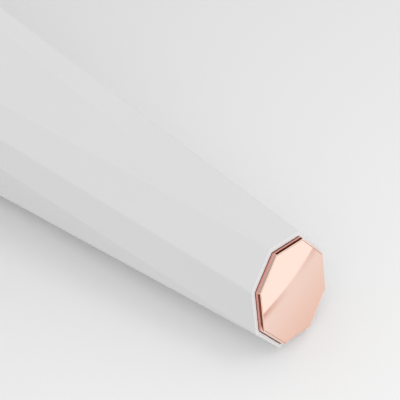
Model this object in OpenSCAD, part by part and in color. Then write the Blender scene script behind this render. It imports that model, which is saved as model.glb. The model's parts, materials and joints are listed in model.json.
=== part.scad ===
// Ultrasonic facial cleansing device: a faceted white handle that lies on its back, an octagonal
// rose gold end cap, a rose gold neck collar and a bent steel spatula driven by a piezo stack.
// Millimetres. The handle's length runs along X with the end cap at +X, and Z is up.
// Lengths named "_at" are measured from the centre of the handle's end face towards the spatula.

/* [End cap] */
// Front of the end cap, inside its bevel, across its corners
face_across = 19; // [16:0.5:21]
// How far the cap's side stands outside its front, at its corners
rim_step = 0.2; // [0.15:0.05:0.4]
// White border of the handle's end round the cap, at its corners
border_w = 0.85; // [0.6:0.05:1.5]
// How far the cap's front stands out of the handle's end
cap_proud = 1.0; // [0.6:0.1:2]
// Depth of the pocket that the cap sits in
pocket_depth = 0.8; // [0.4:0.1:1.2]
// Height of the steep bevel round the cap's front
cap_bevel_h = 0.45; // [0.2:0.05:0.5]
// Width of the rim's flat edge round the polished face, at its corners
cap_land = 0.2; // [0.15:0.05:0.5]
// Seam between the rim and the polished face
cap_gap = 0.03; // [0.02:0.01:0.1]
// Lean of the end face from upright
end_tilt = 27; // [20:1:32]
// Radius of the stud that holds the cap
stud_r = 1.5; // [1:0.1:2]

/* [Handle] */
// Rise of the upper flat towards the spatula, in degrees
top_angle = 5.4; // [4.6:0.1:5.8]
// Rise of the upper long edges, in degrees
edge_angle = 6.3; // [6:0.1:6.8]
// Spread of the long edges on each side, in degrees
splay_angle = 3.4; // [3:0.1:4]
// From the charging socket to the thickest place of the handle
crest_step = 3.5; // [2:0.5:5]
// Fall of the control facet from the crest, in degrees
control_angle = 5; // [4:0.5:5.5]
// Length of the sloping shoulder
shoulder_len = 16; // [14:0.5:17]
// Fall of the upper shoulder, in degrees
shoulder_fall = 21; // [18:1:24]
// Rise of the lower shoulder, in degrees
shoulder_rise = 14; // [12:1:16]
// Inward turn of the side shoulders, in degrees
shoulder_turn = 3; // [2:0.5:3]
// Room inside from the horn's front to the front of the handle
horn_room = 7; // [6:0.5:8]
// Wall of the housing
wall = 1.8; // [1.5:0.1:2]
// Wall behind the end cap
end_wall = 2.4; // [2:0.1:3]
// Running gap between parts that meet without a fit
gap = 0.1; // [0.05:0.01:0.15]

/* [Back cover] */
// Distance of the cover's edge from the lower long edges
cover_margin = 2.4; // [2.2:0.1:2.8]
// End of the cover near the cap
cover_start_at = 4; // [3:0.5:5]
// From the cover's front end to the shoulder
cover_stop = 4; // [3:0.5:6]
// Thickness of the cover
cover_t = 1.6; // [1.4:0.1:1.8]
// Width of the ledge that the cover's edge rests on
ledge_w = 1.0; // [0.8:0.1:1.3]

/* [Neck and spatula] */
// Length of the neck collar
collar_len = 4; // [3:0.5:6]
// Width of the spatula
blade_w = 26; // [23:0.5:30]
// Thickness of the spatula
blade_t = 0.8; // [0.6:0.1:1]
// Length of the spatula in front of the collar
blade_len = 43; // [36:1:50]
// Length of the bent tip of the spatula
tip_len = 20; // [14:1:24]
// Bend of the tip, in degrees
tip_bend = 14; // [8:1:16]
// Corner radius of the tip
tip_corner_r = 5; // [2:0.5:8]
// Height of the silicone lip round the spatula
lip_h = 5; // [4.4:0.1:5.4]
// Width of the silicone lip beside the spatula
lip_side = 0.6; // [0.4:0.1:1]
// Wall of the collar beside the silicone lip
collar_side = 0.9; // [0.8:0.1:1.5]

/* [Ultrasonic stack] */
// Radius of the stack
stack_r = 6; // [5.5:0.1:6]
// Room between the charging board and the stack
stack_room = 4; // [3.5:0.5:6]
// Length of the back mass
back_mass_len = 8; // [7:0.5:8]
// Thickness of each piezo ring
piezo_t = 2.4; // [2:0.1:2.6]
// Thickness of each electrode
electrode_t = 0.25; // [0.2:0.05:0.4]
// Length of the thick part of the horn
horn_body_len = 14; // [12:0.5:14]
// Radius of the slim front of the horn
horn_nose_r = 4.5; // [4:0.1:4.8]
// Length of the slim front of the horn
horn_nose_len = 12.7; // [12:0.1:14]
// Radius of the stack's bolt
bolt_r = 2; // [1.5:0.1:2.2]
// Length of the bolt's thread in the horn
bolt_thread = 7; // [5:0.5:9]

/* [Buttons] */
// Buttons, across their flats
button_w = 8; // [7:0.1:8.4]
// Distance between neighbouring buttons
button_pitch = 10; // [9.5:0.1:10.5]
// First button, measured down the control facet from the crest
first_button = 10; // [9.5:0.1:10.5]
// How far a button stands out
button_proud = 0.6; // [0.4:0.1:1]
// Travel of a button
button_travel = 0.35; // [0.2:0.05:0.4]
// Gap round a button
button_gap = 0.15; // [0.1:0.05:0.25]
// Width of the flange that keeps a button in
button_lip = 0.5; // [0.4:0.05:0.6]

/* [Circuit boards] */
// Depth of the main board's face under the control facet
board_depth = 4.6; // [4.6:0.1:4.7]
// Thickness of the boards
board_t = 1.0; // [0.8:0.1:1]
// Width of the main board
board_w = 15.6; // [15:0.1:16]
// Reach of the main board from the crest towards the cap
board_back = 9; // [8.5:0.5:9.5]
// Reach of the main board from the crest towards the neck
board_front = 36; // [35.5:0.5:36]
// Length of the charging board along the handle
charge_board_x = 13; // [12:0.5:14]

/* [Battery] */
// Diameter of the cell
cell_d = 14; // [13.5:0.1:14]
// Length of the cell
cell_len = 49; // [40:1:60]
// Near end of the cell
cell_at = 13; // [12.5:0.5:14]
// Room between the cell and the charging board
cell_room = 2; // [1.8:0.1:4]

/* [Hidden] */
$fn = 48;
// Larger than the whole device, and taller than it is thick
far = 400;
tall = 50;
// Small overlap that joins solids of one piece, and overshoot of a cut
eps = 0.02;
over = 1;

WHITE = "#f4f3f4";
ROSE = "#dda58f";
STEEL = "#c9ccd0";
DARK = "#303338";
GREEN = "#2d6b47";
BRASS = "#c9a44c";
SILICONE = "#d9d9dc";

// Corner radii of the octagons at the end
face_r = face_across / 2;
rim_r = face_r + rim_step;
body_r = rim_r + border_w;
// Places along the handle: each follows the pieces that lie between it and the end face
cell_end_at = cell_at + cell_len;
socket_at = cell_end_at + cell_room + charge_board_x / 2;
crest_at = socket_at + crest_step;
stack_at = socket_at + charge_board_x / 2 + stack_room;
rear_electrode_at = stack_at + back_mass_len;
rear_piezo_at = rear_electrode_at + electrode_t;
front_electrode_at = rear_piezo_at + piezo_t;
front_piezo_at = front_electrode_at + electrode_t;
horn_at = front_piezo_at + piezo_t;
horn_end_at = horn_at + horn_body_len + horn_nose_len;
neck_at = horn_end_at + horn_room;
shoulder_at = neck_at - shoulder_len;
cover_end_at = shoulder_at - cover_stop;
// The head is as wide as the silicone lip and the collar's walls beside it need
lip_w = blade_w + 2 * lip_side;
head_y = lip_w / 2 + gap + collar_side + (shoulder_len + collar_len) * tan(shoulder_turn);
side_angle = atan((head_y - body_r) / shoulder_at);
// Half the angle between two corners, which turns a flat or a corner to the top
half_step = 22.5;

// Height of the end face's centre, so that its lowest corner touches the ground
end_z = body_r * cos(end_tilt);
mid_angle = top_angle / 2;

function unit(v) = v / norm(v);
// Corner of the body's end face, at an angle from the top towards -Y
function end_corner(turn) = [
    -body_r * cos(turn) * sin(end_tilt),
    -body_r * sin(turn),
    end_z + body_r * cos(turn) * cos(end_tilt)
];
// A plane is an outward normal and its distance from the origin
inside = [-crest_at / 2, 0, end_z];
function plane_at(n, p) = [unit(n), unit(n) * p];
function plane_through(a, b, c) =
    let (n = cross(b - a, c - a))
    let (s = n * (inside - a) > 0 ? -1 : 1)
    plane_at(s * n, a);

mid_normal = [sin(mid_angle), 0, cos(mid_angle)];
function mirrored(v) = v - 2 * (v * mid_normal) * mid_normal;
// Directions of the long edges towards the spatula; side is 1 on the -Y side
function upper_edge(side) = [-1, -side * tan(splay_angle), tan(edge_angle)];
function lower_edge(side) = mirrored(upper_edge(side));
function side_run(side) = [-cos(mid_angle), -side * tan(side_angle), sin(mid_angle)];

top_corner = end_corner(0);
// Heights of the upper flat, the control facet and the two shoulders at a distance along the handle
function top_z(at) = top_corner[2] + (at + top_corner[0]) * tan(top_angle);
crest_z = top_z(crest_at);
function control_z(at) = crest_z - (at - crest_at) * tan(control_angle);
function neck_top_z(at) = control_z(shoulder_at) - (at - shoulder_at) * tan(shoulder_fall);
function neck_low_z(at) = (at - shoulder_at) * tan(shoulder_rise);
function mid_z(at) = end_z + at * tan(mid_angle);
function side_y(at) = body_r + at * tan(side_angle);
function edge_y(at) = body_r * sin(45) + at * tan(splay_angle);
// Height of the neck's middle, where the spatula leaves
axis_z = (neck_top_z(neck_at) + neck_low_z(neck_at)) / 2;

// Facets of one side, from the upper flat down to the lower flat
function side_facets(side) = [
    plane_through(top_corner, end_corner(side * 45), end_corner(side * 45) + upper_edge(side)),
    plane_through(end_corner(side * 45), end_corner(side * 90), end_corner(side * 45) + upper_edge(side)),
    plane_through(end_corner(side * 90), end_corner(side * 90) + mid_normal,
                  end_corner(side * 90) + side_run(side)),
    plane_through(end_corner(side * 135), end_corner(side * 90), end_corner(side * 135) + lower_edge(side)),
    plane_through(end_corner(180), end_corner(side * 135), end_corner(side * 135) + lower_edge(side))
];
LONG_FACETS = concat(
    side_facets(1), side_facets(-1),
    [
        plane_at([sin(top_angle), 0, cos(top_angle)], top_corner),
        plane_at([0, 0, -1], [0, 0, 0]),
        plane_at([-sin(control_angle), 0, cos(control_angle)], [-crest_at, 0, crest_z]),
        plane_at([-sin(shoulder_fall), 0, cos(shoulder_fall)], [-shoulder_at, 0, control_z(shoulder_at)]),
        plane_at([-sin(shoulder_rise), 0, -cos(shoulder_rise)], [-shoulder_at, 0, 0]),
        plane_at([-sin(shoulder_turn), -cos(shoulder_turn), 0], [-shoulder_at, -side_y(shoulder_at), 0]),
        plane_at([-sin(shoulder_turn), cos(shoulder_turn), 0], [-shoulder_at, side_y(shoulder_at), 0])
    ]
);
end_normal = [cos(end_tilt), 0, sin(end_tilt)];
END_PLANE = plane_at(end_normal, [0, 0, end_z]);

module half_space(p, inset) {
    n = p[0];
    rotate([0, acos(n[2]), atan2(n[1], n[0])])
        translate([-far / 2, -far / 2, p[1] - inset - far])
            cube(far);
}

// The faceted bar, its skin moved inwards, cut off between two distances from the end
module bar(inset, end_inset, front_at) {
    intersection() {
        intersection_for (p = LONG_FACETS)
            half_space(p, inset);
        half_space(END_PLANE, end_inset);
        translate([-front_at, -far / 2, -far / 2])
            cube(far);
    }
}

// Frame of the end face: +Z leaves the device, +X is its upper direction
module on_end(depth = 0) {
    translate([0, 0, end_z])
        rotate([0, 90 - end_tilt, 0])
            translate([0, 0, -depth])
                rotate([0, 0, 180])
                    children();
}

// Frame of the control facet: the crest is at x = 0, the neck lies at -X, +Z leaves the device
module on_control(down = 0, side = 0, depth = 0) {
    translate([-crest_at, 0, crest_z])
        rotate([0, -control_angle, 0])
            translate([-down, side, -depth])
                children();
}

// Frame of the stack: +Z points towards the spatula
module on_stack(at) {
    translate([-at, 0, axis_z])
        rotate([0, -90, 0])
            children();
}

// Octagon with a corner at the top, given by its corner radius
module octagon(r, h) {
    cylinder(r = r, h = h, $fn = 8);
}

// Octagon with its flats square to X and Y, given across its flats
module flat_octagon(across, h) {
    rotate([0, 0, half_step])
        cylinder(d = across / cos(half_step), h = h, $fn = 8);
}

// Box centred in X and Y
module block(size) {
    translate([-size[0] / 2, -size[1] / 2, 0])
        cube(size);
}

// Pan head screw: the head hangs below z = 0, where it seats, and the shank rises from there
module pan_screw(r, head_r, head_h, len) {
    translate([0, 0, -head_h / 4])
        cylinder(r = r, h = len + head_h / 4);
    difference() {
        translate([0, 0, -head_h])
            cylinder(r = head_r, h = head_h);
        for (turn = [0, 90])
            rotate([0, 0, turn])
                translate([0, 0, -head_h - over])
                    block([1.2 * head_r, 0.3 * head_r, over + head_h / 2]);
    }
}

// Tube of round section along a list of points, as one closed solid
function across(d, v) = unit(v - (v * d) * d);
function carried(dirs, sides) =
    len(sides) == len(dirs) ? sides
    : carried(dirs, concat(sides, [across(dirs[len(sides)], sides[len(sides) - 1])]));
module lead(path, r) {
    sides = 8;
    last = len(path) - 1;
    dirs = [for (i = [0 : last]) unit(path[min(i + 1, last)] - path[max(i - 1, 0)])];
    lifts = carried(dirs, [across(dirs[0], [0, 1, 0])]);
    rings = [
        for (i = [0 : last])
            let (u = lifts[i])
            let (v = cross(dirs[i], u))
            for (k = [0 : sides - 1])
                path[i] + r * (cos(k * 360 / sides) * u + sin(k * 360 / sides) * v)
    ];
    walls = [
        for (i = [0 : last - 1], k = [0 : sides - 1])
            let (a = i * sides + k)
            let (b = i * sides + (k + 1) % sides)
            [a, b, b + sides, a + sides]
    ];
    ends = [
        [for (k = [sides - 1 : -1 : 0]) k],
        [for (k = [0 : sides - 1]) last * sides + k]
    ];
    turned = [for (f = concat(walls, ends)) [for (k = [len(f) - 1 : -1 : 0]) f[k]]];
    polyhedron(points = rings, faces = turned);
}

// Places of the screws that hold the back cover: distance along the handle and side
screw_r = 0.9;
screw_head_r = 1.7;
screw_head_h = 1.0;
plug_t = 0.6;
pillar_r = 1.9;
pillar_h = 8;
end_screw_at = 8.6;
front_screw_in = 11;
front_screw_at = cover_end_at - front_screw_in;
front_screw_y = edge_y(front_screw_at) - cover_margin - pillar_r - 2 * gap;
COVER_SCREWS = [[end_screw_at, 0], [front_screw_at, front_screw_y], [front_screw_at, -front_screw_y]];
screw_seat_z = plug_t + screw_head_h + gap;
screw_len = 6;
cover_boss_h = 3.4;

// Outline of the back cover, seen from below, with its edge moved inwards
cover_zone = 5;
ledge_t = 1;
module cover_outline(inset) {
    edge = cover_margin + inset;
    a = cover_start_at + inset;
    b = cover_end_at - inset;
    translate([0, 0, -over])
        linear_extrude(cover_zone + over)
            polygon([
                [-a - edge_y(a) / 2, -edge_y(a) + edge],
                [-b, -edge_y(b) + edge],
                [-b, edge_y(b) - edge],
                [-a - edge_y(a) / 2, edge_y(a) - edge],
                [-a, edge_y(a) / 2 - edge / 2],
                [-a, -edge_y(a) / 2 + edge / 2]
            ]);
}

// Charging socket
socket_w = 8.9;
socket_h = 3.2;
socket_depth = 7.3;
socket_wall = 0.3;
socket_recess = 0.5;
socket_corner_r = 1.2;
socket_back_t = 1.2;
socket_mouth_gap = 0.4;
tongue_w = 6.6;
tongue_t = 0.7;
tongue_recess = 1;
socket_z = mid_z(socket_at);
socket_mouth_y = side_y(socket_at) - socket_recess;
charge_board_z = socket_z - socket_h / 2 - board_t;
charge_board_back_y = -7;
charge_board_y1 = side_y(socket_at - charge_board_x / 2) - wall - gap;

// Rounded bar along Y, for the socket and its opening
module socket_bar(w, h, r, y0, y1) {
    translate([-socket_at, y1, socket_z])
        rotate([90, 0, 0])
            linear_extrude(y1 - y0) {
                for (sx = [-1, 1], sy = [-1, 1])
                    translate([sx * (w / 2 - r), sy * (h / 2 - r)])
                        circle(r = r, $fn = 24);
                square([w - 2 * r, h], center = true);
                square([w, h - 2 * r], center = true);
            }
}

// Buttons, light dots and the board's screws, measured down the control facet
BUTTONS_DOWN = [for (i = [0 : 2]) first_button + i * button_pitch];
dot_down = 3.6;
dot_pitch = 3.4;
dot_r = 0.65;
board_screw_r = 0.7;
board_boss_r = 1.7;
board_screw_len = 2.8;
board_screw_head_r = 1.2;
board_screw_head_h = 0.5;
board_screw_down = first_button + button_pitch / 2;
board_screw_side = board_w / 2 - 1.5;
// Height of the main board's underside
function board_low_z(at) = control_z(at) - (board_depth + board_t) / cos(control_angle);
BOARD_SCREWS = [[-board_back + 2.2, 0], [board_screw_down, 1], [board_screw_down, -1]];

module board_screw_places(depth) {
    for (p = BOARD_SCREWS)
        on_control(p[0], p[1] * board_screw_side, depth)
            children();
}

// Silicone mounts of the stack, their seats on the cover and the grooves in their sides
mount_t = 4;
mount_wall = 1;
rib_t = 2;
groove_depth = 1;
rib_hook_w = 1.2;
rib_hook_h = 1.6;
board_clear = 0.5;
front_mount_at = stack_at + back_mass_len + 2 * piezo_t + 2 * electrode_t + horn_body_len - mount_t / 2 - 1.5;
rear_mount_at = stack_at + back_mass_len / 2;
mount_w = 2 * (stack_r + 3);
groove_y = mount_w / 2 - groove_depth + gap;
mount_top_z = axis_z + stack_r - 2;
mount_low_z = axis_z - stack_r - mount_wall;

// Flange of the neck's gasket, behind the front wall
flange_w = 1.2;
flange_t = 1.6;
flange_inset = 2;
// Pins of the collar, in the front wall above and below the gasket
pin_r = 0.6;
pin_side = lip_w / 2 - flange_inset;
pin_up = lip_h / 2 + 1.3;
pin_short = 0.2;

module housing() {
    color(WHITE)
        difference() {
            union() {
                difference() {
                    bar(0, 0, neck_at);
                    bar(wall, end_wall, neck_at - wall);
                }
                intersection() {
                    bar(eps, eps, neck_at - eps);
                    union() {
                        cover_ledge();
                        cover_pillars();
                        board_bosses();
                        stack_ribs();
                        charge_board_ribs();
                    }
                }
            }
            cover_opening();
            screw_holes();
            // Pocket and stud hole of the end cap
            on_end(pocket_depth)
                octagon(rim_r + gap, pocket_depth + over);
            on_end(end_wall + over)
                cylinder(r = stud_r + gap, h = end_wall + 2 * over);
            button_holes();
            socket_bar(
                socket_w + 2 * socket_mouth_gap, socket_h + 2 * socket_mouth_gap,
                socket_corner_r + socket_mouth_gap,
                side_y(socket_at) - 2 * wall, side_y(socket_at) + over
            );
            neck_opening(neck_at - wall - flange_t - gap, neck_at + over);
            neck_pins(gap);
        }
}

// Opening for the cover, through the skin only, with room for the cover's screw bosses
module cover_opening() {
    difference() {
        cover_outline(0);
        bar(cover_t + gap, cover_t + gap, neck_at);
    }
    difference() {
        cover_outline(ledge_w);
        bar(wall + eps, wall + eps, neck_at);
    }
    for (p = COVER_SCREWS)
        translate([-p[0], p[1], 0])
            cylinder(r = pillar_r + gap, h = cover_boss_h + gap);
}

// Ledge inside the opening that the cover's edge rests against
module cover_ledge() {
    difference() {
        intersection() {
            bar(cover_t + gap, cover_t + gap, neck_at);
            cover_outline(-ledge_w);
        }
        cover_outline(ledge_w);
        bar(cover_t + gap + ledge_t, cover_t + gap + ledge_t, neck_at);
    }
}

// The pillar near the end reaches the roof, the two others are joined to the side walls
module cover_pillars() {
    low = cover_boss_h + gap;
    translate([-end_screw_at, 0, low])
        cylinder(r = pillar_r, h = tall);
    for (side = [-1, 1])
        translate([-front_screw_at, side * front_screw_y, low]) {
            cylinder(r = pillar_r, h = pillar_h);
            translate([-rib_t / 2, side > 0 ? 0 : -tall, 0])
                cube([rib_t, tall, pillar_h]);
        }
}

module board_bosses() {
    board_screw_places(board_depth)
        cylinder(r = board_boss_r, h = board_depth);
}

// Holes for the threads of the cover's and the board's screws
module screw_holes() {
    for (p = COVER_SCREWS)
        translate([-p[0], p[1], cover_boss_h])
            cylinder(r = screw_r + eps, h = screw_len);
    board_screw_places(board_depth + over)
        cylinder(r = board_screw_r + eps, h = board_screw_len + over - board_t + gap);
}

// Partial bulkheads beside the stack: each enters a groove of a silicone mount and holds its top down
module stack_ribs() {
    low = cover_t + ledge_t + 2;
    for (at = [front_mount_at, rear_mount_at], side = [-1, 1])
        translate([-at + rib_t / 2, 0, 0])
            mirror([0, side > 0 ? 0 : 1, 0])
                rotate([90, 0, -90])
                    linear_extrude(rib_t)
                        polygon([
                            [-groove_y, low], [-tall, low], [-tall, tall],
                            [-board_w / 2 - board_clear, tall],
                            [-board_w / 2 - board_clear, mount_top_z + rib_hook_h],
                            [-groove_y + rib_hook_w, mount_top_z + rib_hook_h],
                            [-groove_y + rib_hook_w, mount_top_z + gap],
                            [-groove_y, mount_top_z + gap]
                        ]);
}

// Ribs that hold the charging board down beside the socket
hold_rib = [1.4, tall, 3];
module charge_board_ribs() {
    for (end = [-1, 1])
        translate([
            -socket_at + end * (charge_board_x / 2 - 1) - hold_rib[0] / 2,
            charge_board_y1 - 1,
            charge_board_z + board_t + gap
        ])
            cube(hold_rib);
}

module button_holes() {
    for (down = BUTTONS_DOWN)
        on_control(down, 0, wall + over)
            flat_octagon(button_w + 2 * button_gap, wall + 2 * over);
    for (i = [-1 : 1])
        on_control(dot_down, i * dot_pitch, wall + over)
            cylinder(r = dot_r + eps, h = wall + 2 * over);
}

// Opening for the silicone lip, between two distances from the end
module neck_opening(from_at, to_at) {
    translate([-to_at, -lip_w / 2 - gap, axis_z - lip_h / 2 - gap])
        cube([to_at - from_at, lip_w + 2 * gap, lip_h + 2 * gap]);
}

// Four pins that hold the collar
module neck_pins(extra) {
    for (side = [-1, 1])
        on_stack(neck_at - wall)
            for (up = [-1, 1])
                translate([up * pin_up, side * pin_side, extra > 0 ? -over : pin_short])
                    cylinder(r = pin_r + extra, h = wall + over, $fn = 24);
}

module back_cover() {
    color(WHITE)
        difference() {
            union() {
                difference() {
                    intersection() {
                        bar(0, 0, neck_at);
                        cover_outline(gap);
                    }
                    bar(cover_t, cover_t, neck_at);
                }
                for (p = COVER_SCREWS)
                    translate([-p[0], p[1], cover_t - eps])
                        cylinder(r = pillar_r, h = cover_boss_h - cover_t + eps);
                cell_saddles();
                mount_seats();
                charge_board_posts();
            }
            for (p = COVER_SCREWS) {
                translate([-p[0], p[1], -over])
                    cylinder(r = screw_r + gap, h = cover_boss_h + 2 * over);
                translate([-p[0], p[1], -over])
                    cylinder(r = screw_head_r + gap, h = over + screw_seat_z);
            }
        }
}

// Frame of the cell: +Z runs along it towards the spatula
module on_cell(along) {
    translate([-cell_at, 0, mid_z(cell_at)])
        rotate([0, -90 + mid_angle, 0])
            translate([0, 0, along])
                children();
}

saddle_w = 9;
saddle_in = 8;
saddle_h = 4.2;
SADDLES = [saddle_in, cell_len - saddle_in];
module cell_saddles() {
    difference() {
        for (along = SADDLES)
            translate([-cell_at - along - rib_t, -saddle_w / 2, cover_t - eps])
                cube([2 * rib_t, saddle_w, saddle_h]);
        on_cell(-over)
            cylinder(d = cell_d + 2 * eps, h = cell_len + 2 * over);
    }
}

// Posts under the charging board
post_r = 1.2;
post_in = 1.6;
module charge_board_posts() {
    for (end = [-1, 1], y = [charge_board_back_y + post_in, -charge_board_back_y - post_in])
        translate([-socket_at + end * (charge_board_x / 2 - post_in), y, cover_t - eps])
            cylinder(r = post_r, h = charge_board_z - cover_t + eps - gap / 2);
}

// Seats on the cover that push the silicone mounts against the housing's ribs
module mount_seats() {
    for (at = [front_mount_at, rear_mount_at])
        translate([-at, 0, cover_t - eps])
            block([mount_t - 1, mount_w - 6, mount_low_z - cover_t + eps]);
}
module cover_screws() {
    color(STEEL)
        for (p = COVER_SCREWS)
            translate([-p[0], p[1], screw_seat_z])
                pan_screw(screw_r, screw_head_r, screw_head_h, screw_len);
}

module screw_plugs() {
    color(WHITE)
        intersection() {
            bar(0, 0, neck_at);
            for (p = COVER_SCREWS)
                translate([-p[0], p[1], -over])
                    cylinder(r = screw_head_r + gap - eps, h = over + screw_seat_z - screw_head_h - gap / 2);
        }
}

// The rim lies in the pocket, its lip under the plate, which the stud and its nut draw down
cap_h = pocket_depth + cap_proud;
cap_lip_t = 0.5;
cap_lip_r = 6;
plate_r = face_r - cap_land;
nut_t = 1.6;
stud_len = end_wall - pocket_depth + nut_t + 0.6;

// Octagon whose sides lean inwards over its upper part
module bevelled_octagon(r, top_r, h, bevel_h) {
    run = (r - top_r) * cos(half_step);
    intersection() {
        octagon(r, h);
        intersection_for (turn = [0 : 45 : 315])
            rotate([0, 0, turn + half_step])
                translate([top_r * cos(half_step), 0, h])
                    rotate([0, -atan(run / bevel_h), 0])
                        translate([-far, -far / 2, -far / 2])
                            cube(far);
    }
}

module cap_rim() {
    color(ROSE)
        on_end(pocket_depth)
            difference() {
                bevelled_octagon(rim_r, face_r, cap_h, cap_bevel_h);
                translate([0, 0, cap_lip_t])
                    octagon(plate_r, cap_h);
                translate([0, 0, -over])
                    cylinder(r = cap_lip_r, h = cap_lip_t + 2 * over);
            }
}

module cap_face() {
    color(ROSE)
        on_end(pocket_depth) {
            translate([0, 0, cap_lip_t])
                octagon(plate_r - cap_gap, cap_h - cap_lip_t);
            cylinder(r = cap_lip_r - gap, h = cap_lip_t + eps);
            translate([0, 0, -stud_len])
                cylinder(r = stud_r, h = stud_len + eps);
        }
}

module cap_nut() {
    color(STEEL)
        on_end(end_wall + nut_t)
            difference() {
                cylinder(r = 2 * stud_r, h = nut_t, $fn = 6);
                translate([0, 0, -over])
                    cylinder(r = stud_r + eps, h = nut_t + 2 * over);
            }
}

module neck_collar() {
    color(ROSE) {
        difference() {
            intersection() {
                bar(0, 0, neck_at + collar_len);
                translate([-neck_at - far - eps, -far / 2, -far / 2])
                    cube(far);
            }
            neck_opening(neck_at - over, neck_at + collar_len + over);
        }
        neck_pins(0);
    }
}

gasket_recess = 0.3;
module neck_gasket() {
    front = neck_at + collar_len - gasket_recess;
    back = neck_at - wall - flange_t;
    color(SILICONE)
        difference() {
            union() {
                translate([-front, -lip_w / 2, axis_z - lip_h / 2])
                    cube([front - back, lip_w, lip_h]);
                translate([-back - flange_t + gap, -lip_w / 2 + flange_inset, axis_z - lip_h / 2 - flange_w])
                    cube([flange_t - gap, lip_w - 2 * flange_inset, lip_h + 2 * flange_w]);
            }
            translate([-front - over, -blade_w / 2 - eps, axis_z - blade_t / 2 - eps])
                cube([front - back + 2 * over, blade_w + 2 * eps, blade_t + 2 * eps]);
        }
}

// Side profile of the spatula, from its tab in the horn to its bent tip, and its plan
tab_len = 6.5;
tab_w = 6;
tab_root = 1;
root_len = 3;
edge_len = 3;
shoulder_blade_at = horn_end_at + 0.8;
blade_bend_at = neck_at + collar_len + blade_len - tip_len;
bend_r = 12;
module blade_profile() {
    // Centre line: straight, an arc of bend_r, then the bent tip
    arc_len = bend_r * tip_bend * PI / 180;
    tip_run = tip_len - arc_len;
    steps = 6;
    center = [blade_bend_at, -bend_r];
    outer = [for (i = [0 : steps]) let (t = tip_bend * i / steps)
        center + (bend_r + blade_t / 2) * [sin(t), cos(t)]];
    inner = [for (i = [steps : -1 : 0]) let (t = tip_bend * i / steps)
        center + (bend_r - blade_t / 2) * [sin(t), cos(t)]];
    run = [cos(tip_bend), -sin(tip_bend)];
    rise = [sin(tip_bend), cos(tip_bend)];
    end = center + bend_r * rise + tip_run * run;
    edge_t = blade_t / 4;
    polygon(concat(
        [[horn_end_at - tab_len, -blade_t / 2], [horn_end_at - tab_len, blade_t / 2]],
        outer,
        [end - edge_len * run + rise * blade_t / 2, end + rise * edge_t / 2, end - rise * edge_t / 2,
         end - edge_len * run - rise * blade_t / 2],
        inner
    ));
}

module blade_plan() {
    end = neck_at + collar_len + blade_len;
    hull() {
        translate([shoulder_blade_at + root_len, -blade_w / 2])
            square([tab_root, blade_w]);
        for (side = [-1, 1])
            translate([end - tip_corner_r, side * (blade_w / 2 - tip_corner_r)])
                circle(r = tip_corner_r, $fn = 32);
        translate([shoulder_blade_at, -tab_w / 2 - tab_root])
            square([tab_root, tab_w + 2 * tab_root]);
    }
    translate([horn_end_at - tab_len, -tab_w / 2])
        square([tab_len + 2 * tab_root, tab_w]);
}

module blade() {
    color(STEEL)
        difference() {
            intersection() {
                translate([0, blade_w, axis_z])
                    rotate([90, 0, 0])
                        mirror([1, 0, 0])
                            linear_extrude(2 * blade_w)
                                blade_profile();
                translate([0, 0, -far / 2])
                    mirror([1, 0, 0])
                        linear_extrude(far)
                            blade_plan();
            }
            translate([-horn_end_at + tab_len / 2, 0, axis_z - over])
                cylinder(r = clamp_r + gap, h = 2 * over, $fn = 24);
        }
}

clamp_r = 0.8;
clamp_head_r = 1.5;
clamp_head_h = 0.8;
clamp_hold = 3;
clamp_seat_z = axis_z + horn_nose_r - clamp_head_h - 0.4;
module blade_screw() {
    color(STEEL)
        translate([-horn_end_at + tab_len / 2, 0, clamp_seat_z])
            rotate([180, 0, 0])
                pan_screw(clamp_r, clamp_head_r, clamp_head_h, clamp_seat_z - axis_z + clamp_hold);
}

// The stack, from its rear end: back mass, electrode, ring, electrode, ring, horn
bolt_head_h = 2.5;
bolt_head_r = 3.2;
bolt_bore_r = bolt_r + 0.3;
bolt_socket_h = 1.6;
ring_r = stack_r - 0.4;

module ring(r, hole_r, h) {
    difference() {
        cylinder(r = r, h = h);
        translate([0, 0, -over])
            cylinder(r = hole_r, h = h + 2 * over);
    }
}

module back_mass() {
    color(STEEL)
        on_stack(stack_at)
            difference() {
                cylinder(r = stack_r, h = back_mass_len);
                translate([0, 0, -over])
                    cylinder(r = bolt_bore_r, h = back_mass_len + 2 * over);
                translate([0, 0, -over])
                    cylinder(r = bolt_head_r + 0.2, h = bolt_head_h + over);
            }
}

module stack_bolt() {
    bolt_end = horn_at + bolt_thread;
    color(STEEL)
        on_stack(stack_at) {
            difference() {
                cylinder(r = bolt_head_r, h = bolt_head_h);
                translate([0, 0, -over])
                    cylinder(r = 0.75 * bolt_r, h = bolt_socket_h + over, $fn = 6);
            }
            cylinder(r = bolt_r, h = bolt_end - stack_at);
        }
}

lug_w = 2.2;
lug_len = 1.9;
module electrode(at, turn) {
    color(BRASS)
        on_stack(at)
            rotate([0, 0, turn]) {
                ring(ring_r, bolt_bore_r, electrode_t);
                translate([ring_r - 0.5, -lug_w / 2, 0])
                    cube([lug_len + 0.5, lug_w, electrode_t]);
            }
}
LEAD_TURN = [60, -60];
module electrode_rear() electrode(rear_electrode_at, LEAD_TURN[0]);
module electrode_front() electrode(front_electrode_at, LEAD_TURN[1]);

module piezo(at) {
    color(DARK)
        on_stack(at)
            ring(ring_r, bolt_bore_r + 0.2, piezo_t);
}
module piezo_rear() piezo(rear_piezo_at);
module piezo_front() piezo(front_piezo_at);

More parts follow.
